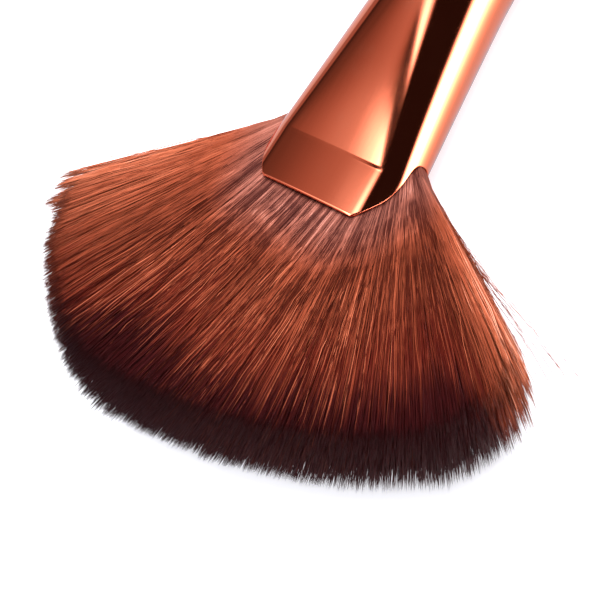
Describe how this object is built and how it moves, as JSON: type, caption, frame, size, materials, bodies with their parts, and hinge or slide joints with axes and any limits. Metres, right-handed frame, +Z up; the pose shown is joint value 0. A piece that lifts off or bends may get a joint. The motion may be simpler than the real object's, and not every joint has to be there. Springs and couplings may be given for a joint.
{
  "type": "powder brush",
  "caption": "Fan-shaped powder brush lying flat: soft dark-tipped bristles in a flattened copper ferrule on a round tapered handle.",
  "frame": {"origin": "on the table under the middle of the brush's bounding box", "axes": "+X along the brush towards the bristle tips, +Y across the fan, +Z up; the axis tilts by about 1.7 degrees as the brush rests on its tips and the end of its handle"},
  "size_m": [0.197, 0.0624, 0.0176],
  "materials": {
    "bristles": "satin",
    "glue": "gloss",
    "copper": "polished",
    "lacquer": "gloss lacquer"
  },
  "bodies": {
    "root": {"bristles": "bristles", "glue_plug": "glue", "ferrule": "copper", "handle": "lacquer"}
  },
  "joints": []
}
